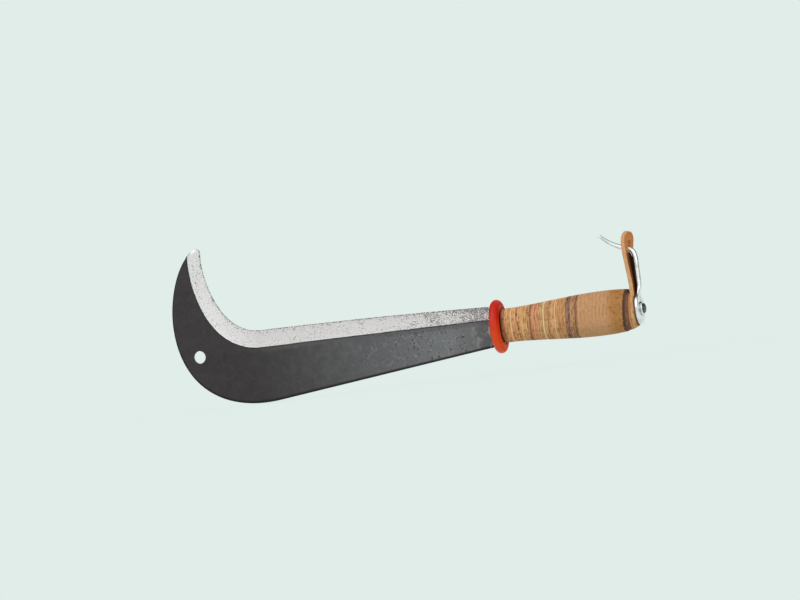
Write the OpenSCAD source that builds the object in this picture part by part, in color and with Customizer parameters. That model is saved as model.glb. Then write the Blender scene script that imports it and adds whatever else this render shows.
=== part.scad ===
// Hand billhook with a beaked blade, a stacked leather grip and a belt hook at the butt.
// The tang lies on the X axis and the butt points along +X. The cutting edge faces up, along +Z.
// The origin is on the tang axis, where the shoulders of the blade meet the guard.

/* [Blade] */
// Reach of the blade, from the guard to the outermost point of its back
blade_reach = 272; // [240:1:310]
// Length of the hooked nose, from the start of the throat to the outermost point of its back
nose_l = 75; // [65:1:90]
// Height of the blade where it meets the guard
heel_h = 33; // [28:0.5:34]
// Thickness of the blade
blade_t = 4; // [3:0.25:6]
// Height of the cutting edge above the tang axis where the throat begins
edge_h = 22; // [18:0.5:26]
// Depth of the belly below the tang axis
belly_d = 38; // [32:1:46]
// Height of the tip of the beak above the tang axis
beak_h = 95; // [80:1:115]
// Width of the beak across its tip
beak_w = 12.4; // [9:0.2:16]
// Width of the ground bevel along the middle of the cutting edge
bevel_w = 13; // [9:0.5:16]
// Thickness left at the cutting edge
edge_t = 0.4; // [0.2:0.1:1]
// Diameter of the hanging hole
hole_d = 10.5; // [6:0.5:14]
// Distance of the hanging hole from the outermost point of the back
hole_inset = 19.4; // [16:0.2:28]
// Height of the hanging hole above the tang axis
hole_z = 6; // [0:0.5:14]

/* [Tang] */
// Thickness of the tang
tang_t = 3.6; // [2.5:0.1:5]
// Height of the tang at the guard
tang_h = 16; // [12:0.5:20]
// Height of the tang at the butt
tang_end_h = 9; // [8:0.5:12]
// Diameter of the round end of the tang
tang_d = 6.5; // [5:0.25:8]
// Diameter of the peened head on the end of the tang
head_d = 8.5; // [8.5:0.25:11]
// Height of the peened head
head_h = 2.2; // [1.2:0.1:3.5]
// Play between the tang and each piece threaded on it
tang_play = 0.3; // [0.1:0.05:0.6]

/* [Guard] */
// Height of the oval guard
guard_h = 44; // [38:0.5:54]
// Thickness of the guard
guard_t = 8; // [6:0.5:12]
// Width of the guard as a share of its height
guard_oval = 0.9; // [0.8:0.01:1]

/* [Grip] */
// Number of narrow leather washers behind the guard
front_count = 20; // [12:1:24]
// Thickness of a narrow washer
front_t = 3.25; // [2:0.05:4]
// Number of wide leather washers ahead of the butt
rear_count = 12; // [6:1:16]
// Thickness of a wide washer
rear_t = 3.15; // [2.4:0.05:5]
// Thickness of the dark washer at the butt
dark_t = 2.2; // [1.5:0.1:4]
// Thickness of the brown washer at the butt
brown_t = 4.1; // [3:0.1:6]
// Height of the grip where it meets the guard
grip_front_h = 27.6; // [24:0.2:32]
// Height of the grip at its swell
grip_swell_h = 36.2; // [33:0.2:42]
// Width of the grip as a share of its height
grip_oval = 0.82; // [0.7:0.01:1]
// Backward lean of the last washers
lean = 6.5; // [0:0.5:9]
// How far the grip draws in from its swell to the butt, on each side
butt_draw = 2.2; // [1:0.1:3]
// How far the brown washer lies below the dark one, where the butt begins to round over
butt_step = 0.8; // [0.2:0.1:2]

/* [Keeper strap] */
// Thickness of the leather strap
strap_t = 3.4; // [2.6:0.1:4]
// Thickness of the strap's base, pressed between the washers and the hook
strap_base_t = 4; // [3.6:0.1:6]
// Width of the strap
strap_w = 18; // [14:0.5:22]
// Height of the top of the strap above the tang axis
strap_top = 63.5; // [60:0.5:72]
// Height of the line where the strap bends, above the tang axis
flex_z = 20; // [19:0.5:22]
// Gap between the base and the bending part of the strap
flex_gap = 0.3; // [0.2:0.05:0.6]
// How far the strap bows forward on its way up
strap_bow = 2.4; // [1:0.1:3]
// How far the top of the strap curls back
strap_curl = 1.3; // [0:0.1:2]

/* [Belt hook] */
// Diameter of the eye plate of the hook
eye_d = 26; // [20:0.5:28]
// Thickness of the eye plate
eye_t = 2.5; // [2:0.1:3.5]
// Diameter of the shank of the hook
shank_d = 4.8; // [3.6:0.1:5.4]
// Gap between the strap and the shank
shank_gap = 0.5; // [0.4:0.05:1]
// Length of the neck, where the flat eye turns into the round shank
neck_l = 8; // [6:0.5:10]
// Height of the bend from the shank to the arm
bend_h = 11.5; // [9:0.5:14]
// Diameter of the arm where it passes through the strap
arm_d = 4.4; // [3.4:0.1:5]
// Diameter of the arm near its tip
arm_tip_d = 2.4; // [1.6:0.1:3.2]
// Height at which the arm passes through the strap
arm_z = 49.5; // [47:0.5:51]
// Reach of the arm forward of the butt
arm_reach = 24; // [18:1:32]
// Rise of the arm from the strap to its tip
arm_rise = 12.7; // [6:0.5:16]
// Play between the arm and the slot in the strap
slot_play = 0.6; // [0.4:0.05:1]
// Diameter of the burr under the peened head
burr_d = 11; // [10:0.5:15]
// Thickness of the burr
burr_t = 1.8; // [1:0.1:3]

/* [Hidden] */
$fn = 96;
// Size of the blocks that trim other shapes, and how far a cut runs past the face that it opens
big = 120;
past = 1;

// Places along the tang, from the guard to the butt
front_x = guard_t;
rear_x = front_x + front_count * front_t;
dark_x = rear_x + rear_count * rear_t;
brown_x = dark_x + dark_t;
strap_x = brown_x + brown_t;
butt_x = strap_x + strap_base_t;
burr_x = butt_x + eye_t;
head_x = burr_x + burr_t;

// Form of the grip: it swells towards the butt, then draws in and rounds over at its end
swell_x = front_x + 0.74 * (butt_x - front_x);
strap_lean = lean / 2;

front_names = [for (i = [1 : front_count]) str("front_washer_", i)];
rear_names = [for (i = [1 : rear_count]) str("rear_washer_", i)];

steel_black = "#454446";
steel_plated = "#d8dadc";
guard_red = "#cf3a20";
leather_tan = "#b98a5c";
leather_dark = "#4a3a30";
leather_brown = "#8a5844";
leather_strap = "#b06a40";
washer_tans = ["#b98a5c", "#a8744c", "#d0a26c", "#94603f"];

// Point and direction on a cubic curve with four control points
function curve(p, t) =
    pow(1 - t, 3) * p[0] + 3 * t * pow(1 - t, 2) * p[1] + 3 * t * t * (1 - t) * p[2] + pow(t, 3) * p[3];
function curve_dir(p, t) =
    pow(1 - t, 2) * (p[1] - p[0]) + 2 * t * (1 - t) * (p[2] - p[1]) + t * t * (p[3] - p[2]);
function unit(v) = v / norm(v);
// Steps from 0 up to, but not including, 1
function steps(n) = [for (i = [0 : n - 1]) i / n];

// Outline of the blade in the XZ plane: the cutting edge runs from the heel to the tip
heel_top = 0.51 * heel_h;
heel_bottom = heel_top - heel_h;
throat = [-(blade_reach - nose_l), edge_h];
beak_mid = [-(blade_reach - 0.436 * nose_l), 0.712 * beak_h];
tip_in = [-(blade_reach - 0.411 * nose_l), 0.947 * beak_h];
tip_out = tip_in - [beak_w, 0.0126 * beak_h];
edge_run = [
    [0, heel_top],
    [0.3 * throat[0], heel_top + 0.52 * (edge_h - heel_top)],
    [0.61 * throat[0], heel_top + 0.89 * (edge_h - heel_top)],
    throat
];
throat_run = [
    throat,
    throat - [0.32 * nose_l, 0],
    beak_mid + [0.07 * nose_l, -0.25 * beak_h],
    beak_mid
];
beak_run = [
    beak_mid,
    beak_mid + [-0.02 * nose_l, 0.075 * beak_h],
    tip_in - [0.06 * beak_w, 0.075 * beak_h],
    tip_in
];

// The spine runs from the heel along the belly and up the back of the beak
belly = [throat[0] + 0.13 * nose_l, -0.98 * belly_d];
back = [-blade_reach, 0.357 * beak_h];
spine_dir = unit(belly - [0, heel_bottom]);
spine_run = [
    [0, heel_bottom],
    [belly[0] / 3, heel_bottom + (belly[1] - heel_bottom) / 3],
    [belly[0] * 2 / 3, heel_bottom + (belly[1] - heel_bottom) * 2 / 3],
    belly
];
belly_run = [
    belly,
    belly + 0.653 * nose_l * spine_dir,
    back - [0, 0.547 * beak_h],
    back
];
back_run = [
    back,
    back + [0, 0.21 * beak_h],
    tip_out - [0.146 * nose_l, 0.118 * beak_h],
    tip_out
];
// The rounded tip, from the spine over to the cutting edge
tip_run = [
    tip_out,
    tip_out + [0.24 * beak_w, 0.048 * beak_h],
    tip_in + [0.07 * beak_w, 0.105 * beak_h],
    tip_in
];

// Sections across the blade, each from the cutting edge to the spine
run_steps = steps(10);
throat_steps = steps(20);
beak_steps = [for (i = [0 : 8]) i / 8];
tip_steps = [for (i = [1 : 5]) 0.5 * i / 5.4];
edge_points = concat(
    [for (t = run_steps) curve(edge_run, t)],
    [for (t = throat_steps) curve(throat_run, t)],
    [for (t = beak_steps) curve(beak_run, t)],
    [for (t = tip_steps) curve(tip_run, 1 - t)]
);
spine_points = concat(
    [for (t = run_steps) curve(spine_run, t)],
    [for (t = throat_steps) curve(belly_run, t)],
    [for (t = beak_steps) curve(back_run, t)],
    [for (t = tip_steps) curve(tip_run, t)]
);
edge_dirs = concat(
    [[-1, 0]],
    [for (i = [1 : len(run_steps) - 1]) unit(curve_dir(edge_run, run_steps[i]))],
    [for (t = throat_steps) unit(curve_dir(throat_run, t))],
    [for (t = beak_steps) unit(curve_dir(beak_run, t))]
);
section_count = len(edge_points);
side_count = len(edge_dirs);
// The bevel is narrow at the heel, widest round the throat and narrower again at the tip
bevel_form = bevel_w * [0.79, 1.42, 0.885, 0.83];
function bevel_at(i) = curve(bevel_form, min(1, i / (side_count - 1)));
function chord_at(i) = norm(spine_points[i] - edge_points[i]);
function ground_w(i) = min(bevel_at(i), 0.9 * chord_at(i));
function bevel_point(i) =
    i < side_count
        ? edge_points[i] + ground_w(i) * [-edge_dirs[i][1], edge_dirs[i][0]]
        : edge_points[i] + ground_w(i) * unit(spine_points[i] - edge_points[i]);
function half_t(i) = edge_t / 2 + (blade_t - edge_t) / 2 * ground_w(i) / bevel_at(i);
function place(p, y) = [p[0], y, p[1]];
function blade_section(i) = [
    place(edge_points[i], -edge_t / 2),
    place(bevel_point(i), -half_t(i)),
    place(spine_points[i], -half_t(i)),
    place(spine_points[i], half_t(i)),
    place(bevel_point(i), half_t(i)),
    place(edge_points[i], edge_t / 2)
];

// Skin over a row of closed sections with the same number of points, as triangles
function side_faces(rows, n) = [
    for (r = [0 : rows - 2], k = [0 : n - 1], half = [0, 1])
        let (
            a = r * n + k,
            b = r * n + (k + 1) % n
        )
        half == 0 ? [a, b, b + n] : [a, b + n, a + n]
];
function end_faces(start, n, flip) = [
    for (k = [1 : n - 2])
        flip ? [start, start + k + 1, start + k] : [start, start + k, start + k + 1]
];

module loft(sections) {
    n = len(sections[0]);
    rows = len(sections);
    polyhedron(
        points = [for (s = sections, p = s) p],
        faces = concat(
            side_faces(rows, n),
            end_faces(0, n, true),
            end_faces((rows - 1) * n, n, false)
        )
    );
}

// Extrudes a drawing in the XZ plane along Y, centred on the tang
module along_y(w) {
    rotate([90, 0, 0])
        linear_extrude(w, center = true)
            children();
}

// Round bar or bore along the tang
module along_x(x, l, d) {
    translate([x, 0, 0])
        rotate([0, 90, 0])
            cylinder(h = l, d = d);
}

// The tang, or with some play the passage for it. It starts inside the blade.
tang_root = 8;
module tang_form(play) {
    along_y(tang_t + 2 * play)
        polygon([
            [-tang_root, tang_h / 2 + play],
            [brown_x, tang_end_h / 2 + play],
            [brown_x, -tang_end_h / 2 - play],
            [-tang_root, -tang_h / 2 - play]
        ]);
    along_x(dark_x, head_x + head_h / 3 - dark_x, tang_d + 2 * play);
}

// The end of the tang, peened over the burr as a low dome
module peened_head() {
    dome_r = (pow(head_d / 2, 2) + head_h * head_h) / (2 * head_h);
    translate([head_x, 0, 0])
        rotate([0, 90, 0])
            rotate_extrude()
                intersection() {
                    translate([0, head_h - dome_r])
                        circle(r = dome_r);
                    square([head_d, head_h]);
                }
}

module blade() {
    color(steel_black) {
        difference() {
            loft([for (i = [0 : section_count - 1]) blade_section(i)]);
            translate([hole_inset - blade_reach, 0, hole_z])
                rotate([90, 0, 0])
                    cylinder(h = 2 * blade_t, d = hole_d, center = true);
        }
        tang_form(0);
        peened_head();
    }
}

// Oval guard with a fully rounded rim
module guard() {
    rim_r = guard_t / 2;
    color(guard_red)
        difference() {
            scale([1, guard_oval, 1])
                rotate([0, 90, 0])
                    rotate_extrude() {
                        square([guard_h / 2 - rim_r, guard_t]);
                        translate([guard_h / 2 - rim_r, rim_r])
                            circle(r = rim_r);
                    }
            tang_form(tang_play);
        }
}

// Half height of the grip at a place along the tang
function swell(x) = pow(sin(90 * (x - front_x) / (swell_x - front_x)), 2);
function grip_r(x) =
    x < swell_x
        ? grip_front_h / 2 + (grip_swell_h - grip_front_h) / 2 * swell(x)
        : grip_swell_h / 2 - butt_draw * pow((x - swell_x) / (butt_x - swell_x), 2);

// Oval with flat sides, drawn across the tang
module flat_oval(half_h) {
    end_r = grip_oval * half_h;
    end_z = half_h - end_r;
    for (side = [-1, 1])
        translate([0, side * end_z])
            circle(r = end_r);
    square([2 * end_r, 2 * end_z], center = true);
}

// Everything behind (side 0) or ahead of (side -1) a plane that leans back at its top
module beyond(x, angle, side) {
    translate([x, 0, 0])
        rotate([0, angle, 0])
            translate([side * big, -big / 2, -big / 2])
                cube(big);
}

// Slice of the grip between two leaning planes, with the passage for the tang
module grip_slice(x0, lean0, x1, lean1) {
    reach = grip_swell_h / 4;
    difference() {
        intersection() {
            translate([x0 - reach, 0, 0])
                rotate([90, 0, 90])
                    linear_extrude(x1 - x0 + 2 * reach)
                        flat_oval(grip_r((x0 + x1) / 2));
            beyond(x0, lean0, 0);
            beyond(x1, lean1, -1);
        }
        tang_form(tang_play);
    }
}

// Ball that rounds the butt over, down to the rim of the hook's eye
module butt_ball() {
    rim_r = grip_r(brown_x) - butt_step;
    eye_r = eye_d / 2;
    rise = eye_r * eye_r - rim_r * rim_r;
    mid_x = (butt_x * butt_x - brown_x * brown_x + rise) / (2 * (butt_x - brown_x));
    translate([mid_x, 0, 0])
        rotate([0, 90, 0])
            sphere(r = norm([brown_x - mid_x, rim_r]));
}

// Lean of the washers, growing steadily from the guard to the dark washer
function lean_at(x) = lean * (x - front_x) / (dark_x - front_x);

module washer(x, t) {
    grip_slice(x, lean_at(x), x + t, lean_at(x + t));
}

module front_washer(i) {
    color(washer_tans[i % len(washer_tans)])
        washer(front_x + i * front_t, front_t);
}

module rear_washer(i) {
    color(leather_tan)
        washer(rear_x + i * rear_t, rear_t);
}

module dark_washer() {
    color(leather_dark)
        grip_slice(dark_x, lean, brown_x, lean);
}

module brown_washer() {
    color(leather_brown)
        intersection() {
            grip_slice(brown_x, lean, strap_x, strap_lean);
            butt_ball();
        }
}

// Middle line of the bending part of the strap: it leans forward and curls back at the top
// It starts a hair ahead of the butt's face, clear of the hook
seat_gap = 0.1;
strap_mid_x = butt_x - strap_t / 2;
flex_x = strap_mid_x - seat_gap;
strap_l = strap_top - flex_z;
strap_line = [
    [flex_x, flex_z],
    [flex_x - strap_bow / 6, flex_z + strap_l / 3],
    [flex_x - strap_bow, flex_z + strap_l * 2 / 3],
    [flex_x + strap_curl, strap_top]
];
strap_steps = [for (i = [0 : 12]) i / 12];
function strap_side(t, side) =
    let (d = unit(curve_dir(strap_line, t)))
    curve(strap_line, t) + side * strap_t / 2 * [d[1], -d[0]];
knuckle_d = strap_t;

// Base of the strap: an oval like the washers, with a tab that carries the bending part
module strap_base() {
    tab_top = flex_z - knuckle_d / 2 - flex_gap;
    tab_low = 0.3 * eye_d;
    color(leather_strap) {
        intersection() {
            grip_slice(strap_x, strap_lean, butt_x, 0);
            butt_ball();
        }
        intersection() {
            translate([butt_x - strap_t, -strap_w / 2, tab_low])
                cube([strap_t, strap_w, tab_top - tab_low]);
            beyond(strap_x, strap_lean, 0);
        }
    }
}

// Middle line of the hook from its eye up the shank, over the bend and along the arm
shank_x = butt_x + shank_gap + shank_d / 2;
eye_mid_x = butt_x + eye_t / 2;
arm_root = [flex_x - 0.4 * strap_bow, arm_z];
arm_tip = [butt_x - arm_reach, arm_z + arm_rise];
neck_z = 0.5 * eye_d;
shank_low = neck_z + neck_l;
shank_top = arm_z - bend_h;
neck_run = [
    [eye_mid_x, 0.6 * neck_z],
    [eye_mid_x, neck_z + neck_l / 8],
    [shank_x, neck_z + neck_l / 4],
    [shank_x, shank_low]
];
shank_run = [
    [shank_x, shank_low],
    [shank_x, shank_low + (shank_top - shank_low) / 3],
    [shank_x, shank_low + (shank_top - shank_low) * 2 / 3],
    [shank_x, shank_top]
];
bend_run = [
    [shank_x, shank_top],
    [shank_x, arm_z - 0.24 * bend_h],
    arm_root + [0.7 * (shank_x - arm_root[0]), -0.12 * bend_h],
    arm_root
];
arm_run = [
    arm_root,
    arm_root + [0.4 * (arm_tip[0] - arm_root[0]), 0.22 * arm_rise],
    arm_root + [0.71 * (arm_tip[0] - arm_root[0]), 0.5 * arm_rise],
    arm_tip
];
// The last of the arm rounds over, in a few shrinking rings
tip_start = 0.96;
tip_round = [0, 0.55, 0.83, 0.97];

function hook_ring(run, t, half_x, half_y) =
    let (
        p = curve(run, t),
        d = unit(curve_dir(run, t))
    )
    [
        for (k = [0 : 15])
            let (a = -360 * k / 16)
            [
                p[0] + half_x * cos(a) * d[1],
                half_y * sin(a),
                p[1] - half_x * cos(a) * d[0]
            ]
    ];
function bend_half(t) = shank_d / 2 + (arm_d - shank_d) / 2 * t;
function arm_half(t) = arm_d / 2 + (arm_tip_d - arm_d) / 2 * t;
function flatten(t) = pow(cos(90 * t), 2);

hook_rings = concat(
    [
        for (t = steps(8))
            hook_ring(
                neck_run, t,
                shank_d / 2 + (0.44 * eye_t - shank_d / 2) * flatten(t),
                shank_d / 2 + (0.2 * eye_d - shank_d / 2) * flatten(t)
            )
    ],
    [for (t = steps(2)) hook_ring(shank_run, t, shank_d / 2, shank_d / 2)],
    [for (t = steps(8)) hook_ring(bend_run, t, bend_half(t), bend_half(t))],
    [for (t = steps(12)) hook_ring(arm_run, tip_start * t, arm_half(t), arm_half(t))],
    [
        for (u = tip_round)
            let (half = arm_tip_d / 2 * sqrt(1 - u * u))
            hook_ring(arm_run, tip_start + (1 - tip_start) * u, half, half)
    ]
);

module belt_hook() {
    color(steel_plated)
        difference() {
            union() {
                along_x(butt_x, eye_t, eye_d);
                loft(hook_rings);
            }
            along_x(butt_x - past, eye_t + 2 * past, tang_d + 2 * tang_play);
        }
}

// Bending part of the strap: a rounded tongue with a slot that lets the arm of the hook through
slot_w = arm_d + 2 * slot_play;
slot_low = arm_z - 1.5 * shank_d;
slot_high = arm_z + 1.5 * shank_d;
module strap_tongue() {
    color(leather_strap)
        difference() {
            intersection() {
                union() {
                    along_y(strap_w)
                        polygon(concat(
                            [for (t = strap_steps) strap_side(t, -1)],
                            [for (i = [len(strap_steps) - 1 : -1 : 0]) strap_side(strap_steps[i], 1)]
                        ));
                    translate([flex_x, 0, flex_z])
                        rotate([90, 0, 0])
                            cylinder(h = strap_w, d = knuckle_d, center = true);
                }
                tongue_outline();
            }
            tongue_slot();
        }
}

// Outline of the tongue seen along the tang, with a round top
module tongue_outline() {
    translate([butt_x - big / 2, 0, 0])
        rotate([90, 0, 90])
            linear_extrude(big) {
                translate([-strap_w / 2, 0])
                    square([strap_w, strap_top - strap_w / 2]);
                translate([0, strap_top - strap_w / 2])
                    circle(d = strap_w);
            }
}

// Round-ended slot for the arm of the hook
module tongue_slot() {
    translate([butt_x - big / 2, 0, 0])
        rotate([90, 0, 90])
            linear_extrude(big) {
                translate([0, slot_low + slot_w / 2])
                    circle(d = slot_w);
                translate([0, slot_high - slot_w / 2])
                    circle(d = slot_w);
                translate([-slot_w / 2, slot_low + slot_w / 2])
                    square([slot_w, slot_high - slot_low - slot_w]);
            }
}

module burr() {
    color(steel_plated)
        difference() {
            along_x(burr_x, burr_t, burr_d);
            along_x(burr_x - past, burr_t + 2 * past, tang_d + 2 * tang_play);
        }
}

blade();
guard();
for (i = [0 : front_count - 1])
    front_washer(i);
for (i = [0 : rear_count - 1])
    rear_washer(i);
dark_washer();
brown_washer();
strap_base();
strap_tongue();
belt_hook();
burr();
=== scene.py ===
import math

import bmesh
import bpy
from mathutils import Euler, Matrix, Vector, noise
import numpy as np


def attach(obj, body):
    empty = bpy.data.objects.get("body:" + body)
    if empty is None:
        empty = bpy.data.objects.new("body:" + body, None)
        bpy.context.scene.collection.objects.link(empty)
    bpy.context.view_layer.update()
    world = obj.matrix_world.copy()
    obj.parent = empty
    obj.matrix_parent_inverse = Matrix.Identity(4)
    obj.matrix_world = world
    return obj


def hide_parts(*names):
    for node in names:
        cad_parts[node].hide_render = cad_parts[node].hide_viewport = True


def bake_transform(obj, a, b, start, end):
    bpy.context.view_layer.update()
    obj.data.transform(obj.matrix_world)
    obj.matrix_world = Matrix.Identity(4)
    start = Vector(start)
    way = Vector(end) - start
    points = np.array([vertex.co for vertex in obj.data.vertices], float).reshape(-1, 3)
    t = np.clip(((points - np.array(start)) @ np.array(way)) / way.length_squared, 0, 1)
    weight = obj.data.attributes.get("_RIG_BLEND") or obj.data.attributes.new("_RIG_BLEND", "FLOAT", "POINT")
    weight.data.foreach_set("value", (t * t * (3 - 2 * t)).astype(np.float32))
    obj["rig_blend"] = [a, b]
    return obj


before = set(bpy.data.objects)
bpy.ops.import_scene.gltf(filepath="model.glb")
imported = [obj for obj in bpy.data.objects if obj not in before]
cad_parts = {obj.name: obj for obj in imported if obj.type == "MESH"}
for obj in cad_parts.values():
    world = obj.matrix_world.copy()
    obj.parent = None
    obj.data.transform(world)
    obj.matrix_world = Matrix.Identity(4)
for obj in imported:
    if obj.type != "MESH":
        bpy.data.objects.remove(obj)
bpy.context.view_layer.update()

print("frame loaded:", len(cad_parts), "nodes")


# shared helpers: colour, nodes, curves, meshes

def hexColor(code):
    parts = [int(code[i:i + 2], 16) / 255 for i in (1, 3, 5)]
    return (*[c / 12.92 if c <= 0.04045 else ((c + 0.055) / 1.055) ** 2.4 for c in parts], 1.0)


def setInputs(node, links):
    # a number or "#" colour is set, and a node or socket is linked; a list fills the inputs in order
    for key, value in links.items() if isinstance(links, dict) else enumerate(links):
        if isinstance(value, bpy.types.Node):
            value = next(socket for socket in value.outputs if socket.enabled)
        if isinstance(value, bpy.types.NodeSocket):
            node.id_data.links.new(value, node.inputs[key])
        else:
            node.inputs[key].default_value = hexColor(value) if isinstance(value, str) else value


# what a kind of node is set to unless a call says otherwise
usual = {"Mix": {"data_type": "RGBA"}, "Math": {"operation": "MULTIPLY"}}


def addNode(tree, kind, links=(), **settings):
    # MapRange takes a value, its range and its new range, and Mix takes its share at 0 and colours at 6 and 7
    node = tree.nodes.new("ShaderNode" + kind)
    for name, value in {**usual.get(kind, {}), **settings}.items():
        setattr(node, name, value)
    setInputs(node, links)
    return node


def nearness(tree, value, at, *spread):
    # a share that depends on how far a value lies from one place: two distances, then the share at each
    off = addNode(tree, "Math", [value, at], operation="SUBTRACT")
    away = addNode(tree, "Math", [off], operation="ABSOLUTE")
    return addNode(tree, "MapRange", [away, *spread])


def newMaterial(name, looks):
    # a Principled material, with Object coordinates in millimetres to hang patterns on
    material = bpy.data.materials.new(name)
    material.use_nodes = True
    tree = material.node_tree
    shader = tree.nodes["Principled BSDF"]
    setInputs(shader, looks)
    coords = addNode(tree, "TexCoord")
    mm = addNode(tree, "Mapping", {"Vector": coords.outputs["Object"], "Scale": (1000, 1000, 1000)})
    return material, tree, shader, mm


def curvePoint(p, t):
    s = 1 - t
    return s ** 3 * p[0] + 3 * t * s * s * p[1] + 3 * t * t * s * p[2] + t ** 3 * p[3]


def curveDir(p, t):
    s = 1 - t
    return (s * s * (p[1] - p[0]) + 2 * t * s * (p[2] - p[1]) + t * t * (p[3] - p[2])).normalized()


def points(*pairs):
    return [Vector(pair) for pair in pairs]


def station(rows, i):
    # the run of curve that row i falls in, and how far along that run it lies
    for run, count in enumerate(rows):
        if i <= count:
            return run, i / count
        i -= count


def ripple(seed, *at):
    # smooth, repeatable unevenness between about -1 and 1
    return noise.noise(Vector((*at, 0, 0)[:3]) + Vector((seed * 7.31, seed * 3.17, seed * 5.03)))


def gridMesh(along, around, place):
    # a flat grid whose points are moved to place(i, k), rolled up and closed into a skin
    bm = bmesh.new()
    bm.loops.layers.uv.new("UVMap")
    bmesh.ops.create_grid(bm, x_segments=along, y_segments=around, size=0.5, calc_uvs=True)
    for vert in bm.verts:
        i = round((vert.co.x + 0.5) * along)
        k = round((vert.co.y + 0.5) * around)
        vert.co = place(i, k % around)
    bmesh.ops.remove_doubles(bm, verts=bm.verts, dist=0.002)
    rim = [e for e in bm.edges if e.is_boundary]
    if rim:
        bmesh.ops.holes_fill(bm, edges=rim, sides=0)
    bmesh.ops.recalc_face_normals(bm, faces=bm.faces)
    return bm


def lathe(bm, outline, steps):
    # spins a closed outline of X and radius round the tang
    before = set(bm.faces)
    verts = [bm.verts.new((x, 0, r)) for x, r in outline]
    edges = [bm.edges.new((verts[i], verts[(i + 1) % len(verts)])) for i in range(len(verts))]
    bmesh.ops.spin(bm, geom=verts + edges, cent=(0, 0, 0), axis=(1, 0, 0), dvec=(0, 0, 0),
                   angle=2 * math.pi, steps=steps, use_merge=True, use_duplicate=False)
    bmesh.ops.remove_doubles(bm, verts=bm.verts, dist=0.001)
    bmesh.ops.recalc_face_normals(bm, faces=[f for f in bm.faces if f not in before])


def cornerArc(x, radius, rounded, steps):
    # quarter round from the side of a turned ring to its rear face
    turns = [math.pi / 2 * step / steps for step in range(steps + 1)]
    return [(x - rounded + rounded * math.sin(a), radius - rounded + rounded * math.cos(a)) for a in turns]


def finishPiece(bm, name, materials, node=None, body="tool", smoothAngle=35):
    # millimetres to metres, shading, materials, and the body that the piece rides on
    bmesh.ops.scale(bm, vec=(0.001, 0.001, 0.001), verts=bm.verts)
    mesh = bpy.data.meshes.new(name)
    bm.to_mesh(mesh)
    bm.free()
    for material in materials:
        mesh.materials.append(material)
    mesh.shade_smooth()
    mesh.set_sharp_from_angle(angle=math.radians(smoothAngle))
    piece = bpy.data.objects.new(name, mesh)
    bpy.context.scene.collection.objects.link(piece)
    if body:
        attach(piece, body)
    if node:
        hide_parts(*node)
    return piece


def cutOut(bm, cutter):
    # takes one closed shape out of another, and returns the result as a new bmesh
    made = []
    for shape in (bm, cutter):
        mesh = bpy.data.meshes.new("cutting")
        shape.to_mesh(mesh)
        shape.free()
        made.append(bpy.data.objects.new("cutting", mesh))
        bpy.context.scene.collection.objects.link(made[-1])
    cut = made[0].modifiers.new("cut", "BOOLEAN")
    cut.object = made[1]
    cut.solver = "EXACT"
    bpy.context.view_layer.update()
    result = bpy.data.meshes.new_from_object(made[0].evaluated_get(bpy.context.evaluated_depsgraph_get()))
    bm = bmesh.new()
    bm.from_mesh(result)
    for shape in made:
        mesh = shape.data
        bpy.data.objects.remove(shape)
        bpy.data.meshes.remove(mesh)
    bpy.data.meshes.remove(result)
    return bm


# materials: patterns in millimetres, depths of bumps in metres

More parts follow.
